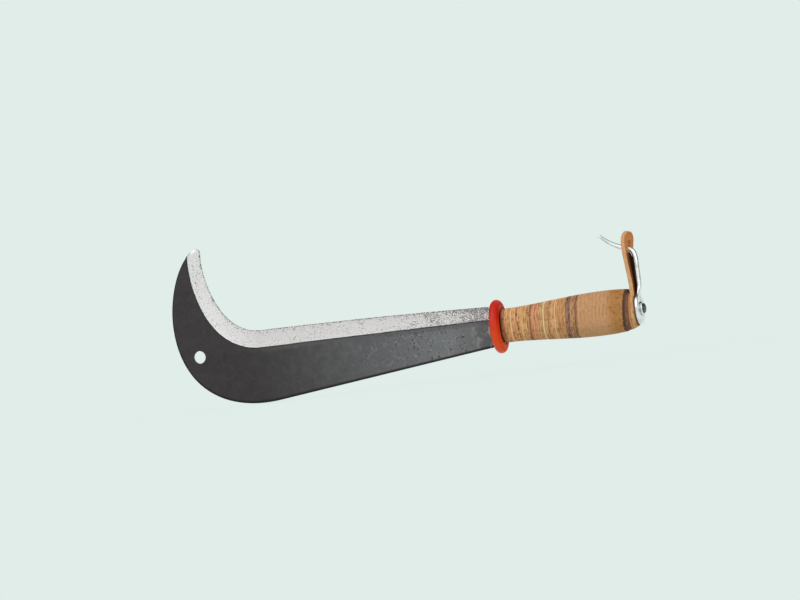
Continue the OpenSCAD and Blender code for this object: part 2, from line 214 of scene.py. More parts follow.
def forgeScale():
    # forged steel left with its black mill scale: matt charcoal, worn to scratched satin grey near the guard
    material, tree, shader, mm = newMaterial("blackForgeScale",
                                             {"Roughness": 0.58, "Specular IOR Level": 0.25})
    x = addNode(tree, "SeparateXYZ", [mm]).outputs["X"]
    mottle = addNode(tree, "TexNoise",
                     {"Vector": mm, "Scale": 1 / 7, "Detail": 5, "Roughness": 0.62, "Distortion": 0.8})
    curl = addNode(tree, "TexNoise", {"Vector": mm, "Scale": 1 / 7, "Detail": 3, "Distortion": 2.2})
    # worn share: none at the nose, growing along the blade, and less again beside the guard
    along = addNode(tree, "MapRange", [x, -218, -42, 0, 1])
    worn = addNode(tree, "Math", [along, 1.4], operation="POWER")
    atHeel = addNode(tree, "MapRange", [x, -38, -12, 1, 0.66])
    patches = addNode(tree, "MapRange", [mottle, 0.36, 0.62, 0.72, 1])
    wornHere = addNode(tree, "Math", [worn, atHeel])
    wornPatches = addNode(tree, "Math", [wornHere, patches])
    black = addNode(tree, "Mix", {0: mottle, 6: "#272324", 7: "#423c3d"})
    color = addNode(tree, "Mix", {0: wornPatches, 6: black, 7: "#7e7f81"})
    # thin curled marks in the last half where the scale is dented: dark, and rubbed pale beside the guard
    dents = addNode(tree, "MapRange", [x, -140, -70, 0, 1])
    mark = nearness(tree, curl, 0.5, 0, 0.05, 1, 0)
    broken = addNode(tree, "MapRange", [mottle, 0.46, 0.54, 0, 1])
    brokenMark = addNode(tree, "Math", [mark, broken])
    dentMark = addNode(tree, "Math", [brokenMark, dents])
    polish = addNode(tree, "MapRange", [x, -26, -12, 0, 1])
    markTone = addNode(tree, "Mix", {0: polish, 6: "#2e2e2d", 7: "#a2a49f"})
    color = addNode(tree, "Mix", {0: dentMark, 6: color, 7: markTone})
    # each dent throws up a thin pale lip beside the dark line
    lip = nearness(tree, curl, 0.57, 0, 0.03, 0.55, 0)
    brokenLip = addNode(tree, "Math", [lip, broken])
    dentLip = addNode(tree, "Math", [brokenLip, dents])
    color = addNode(tree, "Mix", {0: dentLip, 6: color, 7: "#9a9c9c"})
    # rubbed to one even grey in a strip under the bevel, and painted shade makes the rounded spine, which
    # faces down, near black
    past = addNode(tree, "Attribute", attribute_name="pastBevel").outputs["Fac"]
    spine = addNode(tree, "Attribute", attribute_name="toSpine").outputs["Fac"]
    uneven = addNode(tree, "Math", [mottle, -5, past], operation="MULTIPLY_ADD")
    strip = addNode(tree, "MapRange", [uneven, 0.4, 2.7, 0.66, 0])
    fromNose = addNode(tree, "MapRange", [x, -220, -170, 0, 1])
    stripHere = addNode(tree, "Math", [strip, fromNose])
    color = addNode(tree, "Mix", {0: stripHere, 6: color, 7: "#575557"})
    # painted shade on the spine, which faces the floor
    spineShade = addNode(tree, "MapRange", [spine, 0.5, 1.7, 0.9, 0])
    color = addNode(tree, "Mix", {0: spineShade, 6: color, 7: "#0e0c0c"})
    # a broken black line where the grinding stops
    atLine = addNode(tree, "MapRange", [past, 0.5, 1.4, 0.85, 0])
    lineBreaks = addNode(tree, "MapRange", [mottle, 0.4, 0.5, 0.15, 1])
    line = addNode(tree, "Math", [atLine, lineBreaks])
    color = addNode(tree, "Mix", {0: line, 6: color, 7: "#1a1818"})
    # a pale rub just in front of the guard
    rubbed = nearness(tree, x, -4.2, 0.3, 1.1, 0.6, 0)
    brokenRub = addNode(tree, "Math", [rubbed, broken])
    color = addNode(tree, "Mix", {0: brokenRub, 6: color, 7: "#b4b6b0"})
    rough = addNode(tree, "MapRange", [mottle, 0.3, 0.7, 0.64, 0.48])
    dented = addNode(tree, "Math", [dentMark, -0.5, mottle], operation="MULTIPLY_ADD")
    bump = addNode(tree, "Bump", {"Strength": 0.4, "Distance": 0.0003, "Height": dented})
    setInputs(shader, {"Base Color": color, "Roughness": rough, "Normal": bump})
    return material


def groundSteel():
    # the ground bevel: bright bare steel, pits that thicken near the guard, and a broken dark line of painted
    # shade along the edge
    material, tree, shader, mm = newMaterial("groundBevelSteel", {"Metallic": 0.75, "Roughness": 0.45})
    x = addNode(tree, "SeparateXYZ", [mm]).outputs["X"]
    fromEdge = addNode(tree, "Attribute", attribute_name="fromEdge").outputs["Fac"]
    # pits are about 0.5 mm, drawn at 1 mm so that they show
    pits = addNode(tree, "TexNoise", {"Vector": mm, "Scale": 1, "Detail": 3, "Roughness": 0.7})
    cloud = addNode(tree, "TexNoise", {"Vector": mm, "Scale": 1 / 9, "Detail": 2})
    nearGuard = addNode(tree, "MapRange", [x, -95, -15, 0, 0.13])
    spread = addNode(tree, "MapRange", [cloud, 0.35, 0.7, -0.03, 0.05])
    byEdge = addNode(tree, "MapRange", [fromEdge, 0, 4.5, 0.06, 0])
    limit = addNode(tree, "Math", [nearGuard, spread], operation="ADD")
    reached = addNode(tree, "Math", [limit, byEdge], operation="ADD")
    raised = addNode(tree, "Math", [pits, reached], operation="ADD")
    pitted = addNode(tree, "MapRange", [raised, 0.56, 0.68, 0, 0.8])
    steel = addNode(tree, "Mix", {0: cloud, 6: "#c8c0c1", 7: "#d6cfd0"})
    # ground finest, and so brightest, on the beak
    atBeak = addNode(tree, "MapRange", [x, -200, -235, 0, 1])
    bright = addNode(tree, "Mix", {0: atBeak, 6: steel, 7: "#e9e2e3"})
    withPits = addNode(tree, "Mix", {0: pitted, 6: bright, 7: "#65625a"})
    # painted shade: a broken dark line along the cutting edge
    nearEdge = addNode(tree, "MapRange", [fromEdge, 0.35, 1.1, 1, 0])
    ticks = addNode(tree, "MapRange", [pits, 0.42, 0.56, 0.1, 0.9])
    edgeShade = addNode(tree, "Math", [nearEdge, ticks])
    color = addNode(tree, "Mix", {0: edgeShade, 6: withPits, 7: "#4b4849"})
    rough = addNode(tree, "MapRange", [pitted, 0, 0.8, 0.4, 0.7])
    bump = addNode(tree, "Bump", {"Strength": 0.4, "Distance": 0.0002, "Height": pitted}, invert=True)
    setInputs(shader, {"Base Color": color, "Roughness": rough, "Normal": bump})
    return material


def redNylon():
    # moulded nylon: red with a soft gloss, painted light making its lower side a paler orange, lightly
    # scuffed, dusty at the grip
    material, tree, shader, mm = newMaterial("redMouldedNylon", {"Roughness": 0.4, "IOR": 1.53})
    xyz = addNode(tree, "SeparateXYZ", [mm]).outputs
    cloud = addNode(tree, "TexNoise", {"Vector": mm, "Scale": 1 / 9, "Detail": 2})
    grain = addNode(tree, "TexNoise", {"Vector": mm, "Scale": 1 / 1.1, "Detail": 3})
    # painted light: the lower side turns paler orange
    wave = addNode(tree, "Math", [cloud, 16, xyz["Z"]], operation="MULTIPLY_ADD")
    lowerLight = addNode(tree, "MapRange", [wave, 18, -6, 0, 1])
    color = addNode(tree, "Mix", {0: lowerLight, 6: "#ca220d", 7: "#e84a16"})
    # leather dust rubbed into the rear face, round the first washer
    flat = addNode(tree, "Mapping", {"Vector": mm, "Scale": (0, 1 / 0.9, 1)})
    out = addNode(tree, "VectorMath", [flat], operation="LENGTH")
    near = addNode(tree, "MapRange", [out, 15.2, 17.6, 0.75, 0])
    behind = addNode(tree, "MapRange", [xyz["X"], 5.6, 7.2, 0, 1])
    patchy = addNode(tree, "MapRange", [grain, 0.35, 0.6, 0.35, 1])
    nearBehind = addNode(tree, "Math", [near, behind])
    dusty = addNode(tree, "Math", [nearBehind, patchy])
    color = addNode(tree, "Mix", {0: dusty, 6: color, 7: "#c8623f"})
    dull = addNode(tree, "MapRange", [behind, 0, 1, 0.25, 0.03])    # the rear face is rubbed dull
    rough = addNode(tree, "MapRange", [grain, 0.3, 0.7, 0.34, 0.5])
    bump = addNode(tree, "Bump", {"Strength": 0.15, "Distance": 0.0002, "Height": grain})
    setInputs(shader, {"Base Color": color, "Roughness": rough, "Normal": bump, "Specular IOR Level": dull})
    return material


def leatherEdge(name, base, warm, dark, spots, line=None, lineAt=0.5, seam=0.5, stripes=0.62,
                rearTone=None, capShade=None):
    # cut edge of vegetable-tanned leather, sanded and rubbed: layered fibres, specks and soft grooves
    material, tree, shader, mm = newMaterial(name, {"Roughness": 0.66, "Specular IOR Level": 0.2})
    rim = addNode(tree, "Attribute", attribute_name="acrossRim").outputs["Fac"]
    x, y, z = addNode(tree, "SeparateXYZ", [mm]).outputs
    # layers change across a washer's thickness and run on round it, differently in each leather
    flat = addNode(tree, "CombineXYZ", [rim, y, z])
    shift = len(bpy.data.materials) * 5.3
    ring = addNode(tree, "Mapping", {"Vector": flat, "Scale": (4.8, 0.09, 0.09), "Location": (shift, 0, 0)})
    layers = addNode(tree, "TexNoise", {"Vector": ring, "Scale": 1, "Detail": 2})
    across = addNode(tree, "Mapping", {"Vector": mm, "Scale": (1, 0.5, 0.5)})
    fibre = addNode(tree, "TexNoise", {"Vector": across, "Scale": 1 / 1.7, "Detail": 3, "Roughness": 0.65})
    blotch = addNode(tree, "TexNoise", {"Vector": across, "Scale": 1 / 1.6, "Detail": 2})
    paler = addNode(tree, "MapRange", [layers, 0.48, 0.62, 0, 1])
    color = addNode(tree, "Mix", {0: paler, 6: base, 7: warm})
    darker = addNode(tree, "MapRange", [layers, 0.46, 0.38, 0, stripes])
    color = addNode(tree, "Mix", {0: darker, 6: color, 7: dark})
    if rearTone:
        # handled longest near the butt, where it turns deeper in colour
        wave = addNode(tree, "Math", [blotch, 4, x], operation="MULTIPLY_ADD")
        turned = addNode(tree, "MapRange", [wave, 97, 106, 0, 1], interpolation_type="SMOOTHSTEP")
        color = addNode(tree, "Mix", {0: turned, 6: color, 7: rearTone})
        # short dark scuffs along the grip, most of them in the deeper part
        lengthwise = addNode(tree, "Mapping", {"Vector": mm, "Scale": (0.3, 1, 1)})
        scuffs = addNode(tree, "TexNoise", {"Vector": lengthwise, "Scale": 1 / 1.6, "Detail": 2})
        scuffed = addNode(tree, "MapRange", [scuffs, 0.56, 0.66, 0, 0.65])
        often = addNode(tree, "MapRange", [turned, 0, 1, 0.3, 1])
        shown = addNode(tree, "Math", [scuffed, often])
        color = addNode(tree, "Mix", {0: shown, 6: color, 7: "#7d5630"})
    # dark and pale fibres, then dark dots
    fuzz = addNode(tree, "MapRange", [fibre, 0.56, 0.68, 0, spots])
    color = addNode(tree, "Mix", {0: fuzz, 6: color, 7: dark})
    fleck = addNode(tree, "MapRange", [fibre, 0.42, 0.3, 0, 0.5 * spots])
    color = addNode(tree, "Mix", {0: fleck, 6: color, 7: "#e0bc8c"})
    dot = addNode(tree, "MapRange", [blotch, 0.57, 0.66, 0, spots])
    color = addNode(tree, "Mix", {0: dot, 6: color, 7: dark})
    if line:
        # one thin line of another colour: on most washers a layer such as the grain side of the hide, on the
        # first washer and the strap base painted shade
        share = nearness(tree, rim, lineAt, 0.1, 0.24, 0.85, 0)
        color = addNode(tree, "Mix", {0: share, 6: color, 7: line})
    if capShade:
        # painted shade where the strap lies over the top of the grip
        strapShade = addNode(tree, "MapRange", [z, 12.6, 14.2, 0, 0.9])
        color = addNode(tree, "Mix", {0: strapShade, 6: color, 7: capShade})
    # rubbed-in dirt in the groove between two washers, with breaks in it
    groove = nearness(tree, rim, 0.5, 0.4, 0.5, 0, seam)
    gaps = addNode(tree, "MapRange", [blotch, 0.4, 0.55, 0.1, 1])
    dirt = addNode(tree, "Math", [groove, gaps])
    color = addNode(tree, "Mix", {0: dirt, 6: color, 7: dark})
    rough = addNode(tree, "MapRange", [fibre, 0.3, 0.7, 0.58, 0.76])
    bump = addNode(tree, "Bump", {"Strength": 0.4, "Distance": 0.0002, "Height": fibre})
    setInputs(shader, {"Base Color": color, "Roughness": rough, "Normal": bump})
    return material


def strapFace():
    # smooth grain side of strap leather: orange-brown and matt, with the steel shank's shadow painted on it
    # in black
    material, tree, shader, mm = newMaterial("strapLeatherGrainSide",
                                             {"Roughness": 0.6, "Specular IOR Level": 0.0})
    x, y, z = addNode(tree, "SeparateXYZ", [mm]).outputs
    cloud = addNode(tree, "TexNoise", {"Vector": mm, "Scale": 1 / 7, "Detail": 3})
    pores = addNode(tree, "TexNoise", {"Vector": mm, "Scale": 1 / 0.8, "Detail": 3})
    brown = addNode(tree, "Mix", {0: cloud, 6: "#c27848", 7: "#d28c5a"})
    # painted shadow of the shank: below the arm, on the side of the strap that faces the shank
    wave = addNode(tree, "Math", [cloud, 5, z], operation="MULTIPLY_ADD")
    below = addNode(tree, "MapRange", [wave, 48, 51, 1, 0])
    behind = addNode(tree, "MapRange", [x, 118.4, 119.4, 0, 0.93])
    reach = addNode(tree, "Math", [below, behind])
    # the painted shadow lies off the middle and leaves a brown border on one side
    border = addNode(tree, "MapRange", [y, -2.0, -5.5, 0, 1])
    shankShadow = addNode(tree, "Mix", {0: border, 6: "#0c0705", 7: "#74462c"})
    color = addNode(tree, "Mix", {0: reach, 6: brown, 7: shankShadow})
    bump = addNode(tree, "Bump", {"Strength": 0.3, "Distance": 0.0002, "Height": pores})
    setInputs(shader, {"Base Color": color, "Normal": bump})
    return material


def strapCut(name, base, pale, dark):
    # cut edge of strap leather: fibrous along its length, with little shine
    material, tree, shader, mm = newMaterial(name, {"Roughness": 0.68, "Specular IOR Level": 0.25})
    lengthwise = addNode(tree, "Mapping", {"Vector": mm, "Scale": (1, 1, 0.15)})
    fibre = addNode(tree, "TexNoise", {"Vector": lengthwise, "Scale": 1 / 0.9, "Detail": 3})
    cloud = addNode(tree, "TexNoise", {"Vector": mm, "Scale": 1 / 4, "Detail": 2})
    tan = addNode(tree, "Mix", {0: cloud, 6: base, 7: pale})
    fuzz = addNode(tree, "MapRange", [fibre, 0.5, 0.75, 0, 0.5])
    color = addNode(tree, "Mix", {0: fuzz, 6: tan, 7: dark})
    bump = addNode(tree, "Bump", {"Strength": 0.35, "Distance": 0.0002, "Height": fibre})
    setInputs(shader, {"Base Color": color, "Normal": bump})
    return material


def platedSteel():
    # bright zinc-plated steel: nearly white metal with soft grey clouds, partly uneven plating and partly
    # painted reflection, and a few rubbed places
    material, tree, shader, mm = newMaterial("zincPlatedSteel", {"Metallic": 1.0, "Roughness": 0.26})
    # grey clouds: partly uneven plating, partly painted reflection of darker surroundings
    cloud = addNode(tree, "TexNoise", {"Vector": mm, "Scale": 1 / 5, "Detail": 3})
    fine = addNode(tree, "TexNoise", {"Vector": mm, "Scale": 1 / 0.8, "Detail": 2})
    share = addNode(tree, "MapRange", [cloud, 0.36, 0.56, 0, 1])
    color = addNode(tree, "Mix", {0: share, 6: "#d6d3d5", 7: "#f6f2f3"})
    # painted shade: grey in the corner where the burr sits on the eye
    flat = addNode(tree, "Mapping", {"Vector": mm, "Scale": (0, 1, 1)})
    out = addNode(tree, "VectorMath", [flat], operation="LENGTH")
    burrShade = nearness(tree, out, 5.8, 0.5, 1.3, 0.75, 0)
    x = addNode(tree, "SeparateXYZ", [mm]).outputs["X"]
    atEye = addNode(tree, "MapRange", [x, 123.4, 124.9, 1, 0])
    patchy = addNode(tree, "MapRange", [fine, 0.35, 0.6, 0.4, 1])
    low = addNode(tree, "Math", [burrShade, atEye])
    broken = addNode(tree, "Math", [low, patchy])
    color = addNode(tree, "Mix", {0: broken, 6: color, 7: "#6d685d"})
    rough = addNode(tree, "MapRange", [fine, 0.3, 0.7, 0.2, 0.36])
    setInputs(shader, {"Base Color": color, "Roughness": rough})
    return material


def hammeredSteel():
    # bare steel, peened cold: dark, dented and dull with bright high spots
    material, tree, shader, mm = newMaterial("peenedBareSteel", {"Metallic": 0.8, "Roughness": 0.5})
    dents = addNode(tree, "TexNoise", {"Vector": mm, "Scale": 1 / 1.8, "Detail": 2})
    share = addNode(tree, "MapRange", [dents, 0.45, 0.65, 0, 1])
    color = addNode(tree, "Mix", {0: share, 6: "#3a3a3b", 7: "#9a9a9b"})
    bump = addNode(tree, "Bump", {"Strength": 0.6, "Distance": 0.0004, "Height": dents})
    setInputs(shader, {"Base Color": color, "Normal": bump})
    return material


scaleSteel = forgeScale()
bevelSteel = groundSteel()
guardRed = redNylon()
strapSkin = strapFace()
strapEdge = strapCut("strapLeatherCutEdge", "#c98d5b", "#e0b080", "#94643a")
strapSlotShade = strapCut("strapLeatherSlot", "#2c1b11", "#4a2e1c", "#1a100a")  # painted shade inside the slot, where the arm passes
platedMetal = platedSteel()
peenedMetal = hammeredSteel()
print("metals, nylon and strap leather mixed")


# blade: a row of sections from the guard to the tip, each from the cutting edge to the spine (mm)

blade = {
    "edgeRuns": [
        points((0, 16.83), (-59.1, 19.52), (-120.2, 21.43), (-197, 22)),
        points((-197, 22), (-221, 22), (-234, 43.9), (-239.3, 67.6)),
        points((-239.3, 67.6), (-240.8, 74.8), (-241.9, 82.9), (-241.2, 90)),
    ],
    "spineRuns": [
        points((0, -16.17), (-62.4, -23.2), (-124.8, -30.2), (-187.2, -37.2)),
        points((-187.2, -37.2), (-235.9, -42.7), (-272, -18), (-272, 33.9)),
        points((-272, 33.9), (-272, 53.9), (-264.5, 77.6), (-253.6, 88.8)),
    ],
    "tipRun": points((-253.6, 88.8), (-250.6, 93.4), (-240.3, 100), (-241.2, 90)),
    "rows": (18, 44, 16, 12),              # sections in each run, the tip last
    "bevelForm": [10.3, 18.5, 11.5, 10.8],  # width of the bevel from guard to tip
    "bevelShares": (0, 10 / 38, 30 / 38, 1),  # how far along that form each run starts
    "bevelMost": 0.9,                      # share of a narrow section that the bevel may take
    "hollow": 0.06,                        # faint hollow of the bevel, as a wheel grinds it
    "raggedBevel": 0.35,                   # waver of the line where the grinding stops
    "narrow": 20.0,                        # waver and hollow fade where a section is shorter than this
    "thickness": 4.0,
    "edgeThickness": 0.4,
    "spineRound": 0.9,
    "hole": (-252.6, 6.0, 5.25),           # X, Z, radius
    "holeRim": 0.4,                        # broken edge of the hole
    "drillPast": 2.0,                      # the drill runs this far past the steel
    "seat": 1.5,                           # runs this far into the guard
}


def bladeRing(i):
    run, t = station(blade["rows"], i)
    if run < 3:
        edge = curvePoint(blade["edgeRuns"][run], t)
        spine = curvePoint(blade["spineRuns"][run], t)
        way = curveDir(blade["edgeRuns"][run], t)
        inward = Vector((-way.y, way.x))
        share = blade["bevelShares"][run] * (1 - t) + blade["bevelShares"][run + 1] * t
        if run == 0:
            inward = inward.lerp(Vector((0, -1)), (1 - t) ** 4).normalized()
    else:
        edge = curvePoint(blade["tipRun"], 1 - 0.5 * t)
        spine = curvePoint(blade["tipRun"], 0.5 * t)
        inward = (spine - edge).normalized() if t < 1 else Vector((-1, 0))
        share = 1.0
    chord = (spine - edge).length
    detail = min(1, chord / blade["narrow"])
    full = curvePoint(blade["bevelForm"], share)
    width = min(full + blade["raggedBevel"] * ripple(1, i * 0.9) * detail, blade["bevelMost"] * chord)
    bevel = edge + width * inward
    thin = blade["edgeThickness"] / 2
    half = thin + (blade["thickness"] / 2 - thin) * min(1, width / full)
    toSpine = spine - bevel
    reach = toSpine.length
    rounding = min(blade["spineRound"], 0.4 * reach, 0.5 * half)
    back = spine - toSpine.normalized() * rounding if reach > 1e-6 else spine
    # points of one side: place, half thickness, distance from the bevel line (below 0 on the bevel)
    near = [(edge, thin, -width)]
    for s in (1 / 3, 2 / 3):
        hollow = thin + (half - thin) * s - blade["hollow"] * detail
        near.append((edge.lerp(bevel, s), hollow, width * (s - 1)))
    near.append((bevel, half, 0.0))
    for s in (0.25, 0.5, 0.75):
        near.append((bevel.lerp(back, s), half, s * reach))
    near.append((back, half, reach))
    midway = 0.71                           # half way round the corner of the spine
    near.append((back.lerp(spine, midway), half - (1 - midway) * rounding, reach))
    near.append((spine, half - rounding, reach))
    shift = blade["seat"] if i == 0 else 0
    ring = [(Vector((p.x + shift, -y, p.y)), far, width, reach) for p, y, far in near]
    ring += [(Vector((p.x + shift, y, p.y)), far, width, reach) for p, y, far in reversed(near)]
    return ring


def holeDrill():
    # flares where it leaves the steel, so that it breaks the rim of the hole
    x, z, radius = blade["hole"]
    deep, past, around = blade["thickness"] / 2 - blade["holeRim"], blade["drillPast"], 64
    flare = ((-deep - past, radius + past), (-deep, radius), (deep, radius), (deep + past, radius + past))

    def place(i, k):
        turn = 2 * math.pi * k / around
        return Vector((x + flare[i][1] * math.cos(turn), flare[i][0], z + flare[i][1] * math.sin(turn)))

    return gridMesh(3, around, place)


def makeBlade():
    rings = [bladeRing(i) for i in range(sum(blade["rows"]) + 1)]
    around = len(rings[0])
    bm = gridMesh(len(rings) - 1, around, lambda i, k: rings[i][k][0])
    layers = [bm.verts.layers.float.new(name) for name in ("fromEdge", "pastBevel", "toSpine")]
    table = {tuple(round(c, 2) for c in p): (far + width, far, reach - far)
             for ring in rings for p, far, width, reach in ring}
    for vert in bm.verts:
        for layer, distance in zip(layers, table[tuple(round(c, 2) for c in vert.co)]):
            vert[layer] = distance
    uv = bm.loops.layers.uv.active
    for face in bm.faces:
        middle = sum(loop[uv].uv.y for loop in face.loops) / len(face.loops) * around
        # three strips on each side and the edge between them are ground, the rest keeps its scale
        face.material_index = 1 if middle < 3 or middle > around - 4 else 0
    bm = cutOut(bm, holeDrill())
    x, z, radius = blade["hole"]
    lip = [v for v in bm.verts if math.hypot(v.co.x - x, v.co.z - z) < radius + 1]
    farOff = 20.0                           # the hole lies well away from the edge, the bevel and the spine
    for layer in bm.verts.layers.float.values():
        for vert in lip:
            vert[layer] = farOff
    looks = [scaleSteel, bevelSteel]
    piece = finishPiece(bm, "bladeForged", looks, ["blade"], smoothAngle=30)
    finishes = {}
    for face in piece.data.polygons:
        for key in face.edge_keys:
            finishes.setdefault(key, set()).add(face.material_index)
        if abs(face.normal.y) > 0.9999:     # flats stay flat beside the rim of the hole
            face.use_smooth = False
    for edge in piece.data.edges:           # keep the line where the grinding stops crisp
        if len(finishes[edge.key]) == 2:
            edge.use_edge_sharp = True
    return piece


bladePiece = makeBlade()
print("blade:", len(bladePiece.data.polygons), "faces")


# guard: a thick oval with a rounded rim and a shallow seat for the first washer in its rear face

guard = {
    "halfHeight": 22.0,
    "oval": 0.9,
    "thick": 8.0,
    "seatRadius": 15.2,
    "seatDepth": 0.9,
    "seatLip": ((0.0, 0.5), (0.25, 0.1)),   # its broken corner: in from the rear face, out from the seat
    "seatFillet": 0.2,
    "hole": 1.8,                            # small enough for the blade to hide
    "holeLip": (0.3, 0.4),                  # its broken corner: in from the front face, out from the hole
}


def makeGuard():
    thick, hole, seat = guard["thick"], guard["hole"], guard["seatRadius"]
    half = thick / 2
    middle = guard["halfHeight"] - half
    floorX = thick - guard["seatDepth"]
    inward, outward = guard["holeLip"]
    outline = [(inward, hole), (0.0, hole + outward)]
    steps = 24
    for step in range(steps + 1):           # front face, over the rim, to the rear face
        a = math.pi * step / steps
        outline.append((half - half * math.cos(a), middle + half * math.sin(a)))
    outline += [(thick - inward, seat + outward) for inward, outward in guard["seatLip"]]
    outline += [(floorX, seat - guard["seatFillet"]), (floorX, hole)]
    bm = bmesh.new()
    lathe(bm, outline, steps=96)
    bmesh.ops.scale(bm, vec=(1, guard["oval"], 1), verts=bm.verts)
    finishPiece(bm, "guardRing", [guardRed], ["guard"], smoothAngle=40)


makeGuard()
print("guard made")


# grip: leather washers on the tang, sanded to one swelling oval

grip = {
    "frontX": 8.0, "frontThick": 3.25,
    "rearX": 73.0, "rearThick": 3.15, "rearCount": 12,
    "darkX": 110.8, "brownX": 113.0, "strapX": 117.1, "buttX": 121.1,
    "frontHalf": 13.8, "swellHalf": 18.1, "swellAt": 0.74, "buttDraw": 2.2,
    "oval": 0.82, "lean": 6.5,
    "buttStep": 0.8, "eyeRadius": 13.0,
    "edgeRound": 0.2,                       # rounding that leaves a groove at each seam
    "crown": 0.04,                          # swell of each washer between its seams
    "bore": 0.42,                           # share of the half height, inside the stack
    "uneven": 0.1,
    "segments": 96,
}
# one letter for the colour of each narrow washer, counted from the guard
frontColors = "urlrqpbekkowsbhnndmz"


def gripHalf(x):
    swellX = grip["frontX"] + grip["swellAt"] * (grip["buttX"] - grip["frontX"])
    if x < swellX:
        rise = math.sin(math.pi / 2 * (x - grip["frontX"]) / (swellX - grip["frontX"])) ** 2
        return grip["frontHalf"] + (grip["swellHalf"] - grip["frontHalf"]) * rise
    return grip["swellHalf"] - grip["buttDraw"] * ((x - swellX) / (grip["buttX"] - swellX)) ** 2


def domeRadius(x):
    # the butt rounds over on a ball that meets the rim of the hook's eye
    rimX = grip["brownX"]
    rimR = gripHalf(rimX) - grip["buttStep"]
    rise = grip["eyeRadius"] ** 2 - rimR ** 2
    middle = (grip["buttX"] ** 2 - rimX ** 2 + rise) / (2 * (grip["buttX"] - rimX))
    ball = math.hypot(rimX - middle, rimR)
    return math.sqrt(max(0.01, ball ** 2 - (x - middle) ** 2))


def leanAt(x):
    # washers stand straight at the guard and lean more towards the butt
    return grip["lean"] * min(1, (x - grip["frontX"]) / (grip["darkX"] - grip["frontX"]))


def ovalPoint(half, turn):
    # flat-sided oval across the tang, in Y and Z
    end = grip["oval"] * half
    flat = (half - end) * max(-1, min(1, 4 * math.sin(turn)))
    return Vector((end * math.cos(turn), end * math.sin(turn) + flat))


def makeWasher(name, node, material, start, end, seed, uneven=grip["uneven"], soft=grip["edgeRound"],
               domed=False):
    # start and end hold the X and the lean of the two faces
    (x0, lean0), (x1, lean1) = start, end
    segments = grip["segments"]
    edge = soft / (x1 - x0)
    # profile across the rim: share of the thickness, and depth below the surface (None in the bore)
    profile = [(0.0, None), (0.0, soft), (0.35 * edge, 0.3 * soft), (edge, 0.0), (0.5, -grip["crown"]),
               (1 - edge, 0.0), (1 - 0.35 * edge, 0.3 * soft), (1.0, soft), (1.0, None)]

    def place(i, k):
        share, sunk = profile[k]
        turn = 2 * math.pi * (i % segments) / segments
        x = x0 + (x1 - x0) * share
        lean = math.tan(math.radians(lean0 + (lean1 - lean0) * share))
        half = gripHalf(min(x, grip["buttX"]))
        rim = ovalPoint(half, turn)
        if sunk is None:
            reach = grip["bore"] * half
        else:
            wave = ripple(seed, 0.0) + 0.6 * ripple(seed, 2.1 * math.cos(turn), 2.1 * math.sin(turn))
            reach = rim.length - uneven * wave - sunk
            if domed:
                reach = min(reach, domeRadius(x + rim.y * lean) - sunk)
        y, z = rim.normalized() * reach
        return Vector((x + z * lean, y, z))

    bm = gridMesh(segments, len(profile), place)
    acrossRim = bm.verts.layers.float.new("acrossRim")
    uv = bm.loops.layers.uv.active
    for face in bm.faces:
        for loop in face.loops:
            loop.vert[acrossRim] = profile[round(loop[uv].uv.y * len(profile)) % len(profile)][0]
    finishPiece(bm, name, [material], [node], smoothAngle=50)


# slot and name of each leather, its tone, paler layers, dark specks, their share, a thin layer, its place
leathers = {
    # the umber washer's thin dark layer at its front is painted shade beside the guard
    "u": ("leather_umber", "leatherUmber", "#b1744f", "#c68d63", "#5c3826", 0.7, "#5a3524", 0.08),
    "r": ("leather_reddish", "leatherReddish", "#d69766", "#e6b27f", "#8b5d3e", 0.7),
    "l": ("leather_tan", "leatherTanLined", "#d49e64", "#e5b47d", "#8d5e3b", 0.6, "#e8c08a", 0.8),
    "q": ("leather_reddish", "leatherSpotted", "#d79665", "#e4aa79", "#744c32", 0.9),
    "p": ("leather_pale", "leatherPale", "#dbaa6f", "#e6bb84", "#9d7041", 0.6),
    "b": ("leather_tan", "leatherBrownTan", "#d19864", "#e2ae79", "#815736", 0.7),
    "e": ("leather_umber", "leatherDarkEnd", "#c48c5e", "#cd9768", "#6a4830", 0.7, "#835d40", 0.72),
    "k": ("leather_reddish", "leatherPink", "#d28e63", "#dea378", "#956045", 0.65),
    "o": ("leather_tan", "leatherOlive", "#c99b66", "#d5ab76", "#765934", 0.7),
    "w": ("leather_pale", "leatherPaleLined", "#cb9966", "#d9ad7b", "#8a5f3b", 0.6, "#efcd9c", 0.22),
    "s": ("leather_tan", "leatherStriped", "#cd9762", "#ddaf7b", "#785130", 0.8, "#a0744a", 0.6),
    "h": ("leather_pale", "leatherHalfPale", "#c99562", "#d6a674", "#845b37", 0.6, "#e5bf8d", 0.2),
    "n": ("leather_tan", "leatherOrange", "#c98f5d", "#d6a270", "#8b5f35", 0.6),
    "d": ("leather_umber", "leatherPlum", "#8a6352", "#a37a63", "#54382c", 0.6),
    "m": ("leather_reddish", "leatherMixed", "#b4825b", "#c8986e", "#68472f", 0.9),
    "z": ("leather_umber", "leatherDarkLined", "#ac7c57", "#be8e67", "#5e3f2c", 0.8, "#75523a", 0.6),
}
frontLeathers = {letter: leatherEdge(*looks) for letter, (slot, *looks) in leathers.items()}
tanRear = leatherEdge("leatherSmoothTan", "#c79468", "#cd9c72", "#906945", 0.3,
                      seam=0.3, stripes=0.08, rearTone="#b67e46")
blackLeather = leatherEdge("leatherDyedBlack", "#4b3a2c", "#5b4838", "#281d15", 0.4, "#774a35", 0.95,
                           seam=0.3, stripes=0.2)
# the brown washer's top is darkened by painted shade under the strap
brownLeather = leatherEdge("leatherDyedBrown", "#805038", "#8e5c42", "#4a2e22", 0.5, "#c69a70", 0.92,
                           seam=0.3, stripes=0.5, capShade="#43362c")
# its thin dark layer at the rear is painted shade between the base and the hook's eye
baseLeather = leatherEdge("leatherStrapBase", "#cb9059", "#d8a46d", "#7b5130", 0.5, "#3c291d", 0.9,
                          seam=0.3, stripes=0.35)

